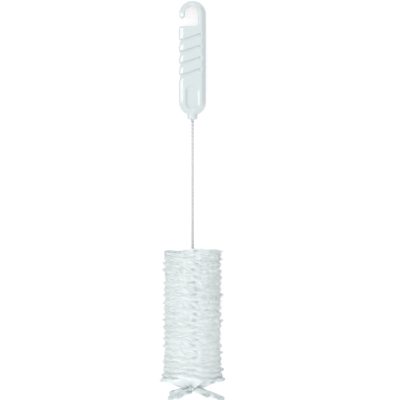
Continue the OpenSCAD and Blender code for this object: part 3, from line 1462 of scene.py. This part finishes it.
@dataclass(frozen=True)
class Nylon:
    """Clear white nylon, with painted shade that darkens it towards its roots, and a tint for each
    filament.
    """

    name: str = "clear_nylon"
    # Painted shade: the roots, deep in the head, are coloured darker than the tips
    shaded_root_colour: Colour = (0.90, 0.96, 0.96, 1.0)
    tip_colour: Colour = (0.95, 0.995, 0.995, 1.0)
    shade_colour: Colour = (0.88, 0.95, 0.95, 1.0)
    tint_share: float = 0.5
    roughness: float = 0.38
    sheen: float = 1.0

    def material(self) -> bpy.types.Material:
        """Makes the material, or gives the one that is made.

        Returns:
            The material.
        """
        if self.name in bpy.data.materials:
            return bpy.data.materials[self.name]
        material, nodes = new_material(self.name)
        along = nodes.add("Attribute", attribute_name="along")
        tint = nodes.add("Attribute", attribute_name="tint")
        # Painted shade: each filament darkens from its tip towards its root
        length = nodes.add("Mix", data_type="RGBA")
        length.inputs[MIX_FIRST].default_value = self.shaded_root_colour
        length.inputs[MIX_SECOND].default_value = self.tip_colour
        amount = nodes.add("Math", operation="MULTIPLY")
        amount.inputs[1].default_value = self.tint_share
        shade = nodes.add("Mix", data_type="RGBA")
        shade.inputs[MIX_SECOND].default_value = self.shade_colour
        surface = nodes.add("BsdfPrincipled", Roughness=self.roughness, Sheen_Weight=self.sheen)
        nodes.link(along.outputs["Fac"], length.inputs[MIX_SHARE])
        nodes.link(tint.outputs["Fac"], amount.inputs[0])
        nodes.link(amount.outputs[0], shade.inputs[MIX_SHARE])
        nodes.link(length.outputs[MIX_RESULT], shade.inputs[MIX_FIRST])
        nodes.link(shade.outputs[MIX_RESULT], surface.inputs["Base Color"])
        nodes.finish(surface)
        return material


# ------------------------------------------------------------------------------------------
# Studio
# ------------------------------------------------------------------------------------------


@dataclass(frozen=True)
class Lamp:
    """One soft light that faces the middle of the brush.

    Attributes:
        name: The light's name.
        place: Where it hangs in the brush's frame, from the middle of the view.
        sides: Its width and its height.
        power: Its power, in watts.
    """

    name: str
    place: tuple[float, float, float]
    sides: Range
    power: float


WHITE: Colour = (1.0, 1.0, 1.0, 1.0)


@dataclass
class Studio:
    """The camera, the pale floor, the black card and the soft lights."""

    pose: Pose
    # The camera
    view_side: float = 400.0
    view_right: float = 7.5
    view_middle: float = -199.3
    camera_away: float = 3000.0
    sensor: float = 36.0
    clip: Range = (0.1, 30.0)
    # The floor and the room
    floor_side: float = 12000.0
    floor_colour: Colour = (0.506, 0.47, 0.47, 1.0)
    floor_lift: float = 0.62
    room_colour: Colour = (0.93, 1.0, 1.0, 1.0)
    room_levels: Range = (0.745, 1.105)
    bright_side: tuple[float, float, float] = (0.03, 0.15, 0.988)
    # The black card
    card_right: float = 700.0
    card_heights: Range = (-6.0, 600.0)
    card_span: Range = (-260.0, 700.0)
    card_colour: Colour = (0.02, 0.02, 0.02, 1.0)
    stage_roughness: float = 0.9
    # The lamps
    key: Lamp = Lamp("key", (-1700, 300, 1000), (400, 1200), 4.0)
    top_fill: Lamp = Lamp("top_fill", (0, 1500, 1050), (800, 700), 2.2)
    tip_fill: Lamp = Lamp("tip_fill", (-80, -650, 180), (500, 300), 1.0)

    def camera(self) -> None:
        """Looks square down on the brush, with the hook at the top."""
        data = bpy.data.cameras.new("camera")
        data.sensor_width = self.sensor
        data.lens = self.sensor * self.camera_away / self.view_side
        data.clip_start, data.clip_end = self.clip
        camera = add_object("camera", data)
        over = Vector((self.view_right, self.view_middle, self.camera_away))
        camera.matrix_world = self.pose.matrix @ Matrix.Translation(over * MM)
        bpy.context.scene.camera = camera

    def sheet(self, name: str, corners: list[tuple[float, float, float]],
              material: bpy.types.Material) -> bpy.types.Object:
        """Makes one flat sheet of the stage.

        Args:
            name: The sheet's name.
            corners: Its four corners, in order.
            material: Its material.

        Returns:
            The sheet's object.
        """
        mesh = bpy.data.meshes.new(name)
        mesh.from_pydata(corners, [], [(0, 1, 2, 3)])
        sheet = add_object(name, mesh)
        dress(sheet, material)
        return sheet

    def matt(self, nodes: Nodes, colour: Colour) -> bpy.types.Node:
        """Adds a surface of one colour with no gloss.

        Args:
            nodes: The material's nodes.
            colour: The surface's colour.

        Returns:
            The surface's shader node.
        """
        surface = nodes.add("BsdfPrincipled", Base_Color=colour, Roughness=self.stage_roughness)
        surface.inputs["Specular IOR Level"].default_value = 0.0
        return surface

    def floor(self) -> None:
        """Lays the pale floor, which keeps the brush's soft shadow."""
        material, nodes = new_material("pale_floor")
        seen = self.seen(nodes)
        strength = nodes.add("Math", operation="MULTIPLY")
        strength.inputs[1].default_value = self.floor_lift
        surface = self.matt(nodes, self.floor_colour)
        surface.inputs["Emission Color"].default_value = WHITE
        nodes.link(seen, strength.inputs[0])
        nodes.link(strength.outputs[0], surface.inputs["Emission Strength"])
        nodes.finish(surface)
        half = self.floor_side / 2 * MM
        corners = [(-half, -half, 0), (half, -half, 0), (half, half, 0), (-half, half, 0)]
        floor = self.sheet("floor", corners, material)

    @staticmethod
    def seen(nodes: Nodes) -> bpy.types.NodeSocket:
        """Gives 1 for rays that the camera sees, straight or in a gloss, and 0 for others.

        Args:
            nodes: The nodes of a material or of the world.

        Returns:
            The socket that gives it.
        """
        path = nodes.add("LightPath")
        first = nodes.add("Math", operation="MAXIMUM")
        second = nodes.add("Math", operation="MAXIMUM")
        nodes.link(path.outputs["Is Camera Ray"], first.inputs[0])
        nodes.link(path.outputs["Is Glossy Ray"], first.inputs[1])
        nodes.link(first.outputs[0], second.inputs[0])
        nodes.link(path.outputs["Is Transmission Ray"], second.inputs[1])
        return second.outputs[0]

    def world(self) -> None:
        """Fills the room with soft light, and shows it white to the camera and in a gloss."""
        world = bpy.data.worlds.new("room")
        world.use_nodes = True
        bpy.context.scene.world = world
        nodes = Nodes(world.node_tree)
        place = nodes.add("TexCoord")
        facing = nodes.add("VectorMath", operation="DOT_PRODUCT")
        facing.inputs[1].default_value = self.bright_side
        level = nodes.add("MapRange")
        level.inputs["From Min"].default_value = -1.0
        level.inputs["To Min"].default_value = self.room_levels[0]
        level.inputs["To Max"].default_value = self.room_levels[1]
        room = nodes.add("Background", Color=self.room_colour)
        white = nodes.add("Background", Color=WHITE, Strength=1.0)
        mix = nodes.add("MixShader")
        output = nodes.add("OutputWorld")
        nodes.link(place.outputs["Generated"], facing.inputs[0])
        nodes.link(facing.outputs["Value"], level.inputs["Value"])
        nodes.link(level.outputs["Result"], room.inputs["Strength"])
        nodes.link(self.seen(nodes), mix.inputs[0])
        nodes.link(room.outputs[0], mix.inputs[1])
        nodes.link(white.outputs[0], mix.inputs[2])
        nodes.link(mix.outputs[0], output.inputs["Surface"])

    def dark_card(self) -> None:
        """Stands a black card at the right, which is seen only as dark edges in the gloss."""
        material, nodes = new_material("black_card")
        nodes.finish(self.matt(nodes, self.card_colour))
        x, (low, high), (y_low, y_high) = self.card_right, self.card_heights, self.card_span
        corners = [(x, y_low, low), (x, y_high, low), (x, y_high, high), (x, y_low, high)]
        card = self.sheet("dark_card", corners, material)
        card.matrix_world = self.pose.matrix @ Matrix.Scale(MM, 4)
        card.visible_camera = card.visible_diffuse = card.visible_shadow = False

    def softbox(self, lamp: Lamp) -> None:
        """Hangs one soft light that faces the middle of the brush.

        Args:
            lamp: The light's place, size and power.
        """
        data = bpy.data.lights.new(lamp.name, "AREA")
        data.shape = "RECTANGLE"
        data.size, data.size_y = (side * MM for side in lamp.sides)
        data.energy = lamp.power
        light = add_object(lamp.name, data)
        middle = self.pose.matrix @ (Vector((0, self.view_middle, 0)) * MM)
        away = self.pose.matrix.to_3x3() @ (Vector(lamp.place) * MM)
        light.location = middle + away
        light.rotation_mode = "QUATERNION"
        light.rotation_quaternion = away.to_track_quat("Z", "Y")

    def build(self) -> None:
        """Sets up the camera, the floor, the card and the lights."""
        bpy.context.scene.view_settings.view_transform = "Standard"
        self.camera()
        self.floor()
        self.world()
        self.softbox(self.key)
        self.dark_card()
        self.softbox(self.top_fill)
        self.softbox(self.tip_fill)


def main() -> None:
    """Builds the studio and every piece of the brush."""
    logging.basicConfig(level=logging.INFO, format="%(name)s: %(message)s")
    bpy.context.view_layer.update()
    handle = Handle()
    pose = Pose.from_mount(frame["record"], handle.hook_centre)
    Studio(pose).build()
    twist = Twist()
    handle.build(pose)
    Wire(twist).build(pose)
    BristleHead(twist).build(pose)
    EndTuft(twist).build(pose)


if __name__ == "__main__":
    main()
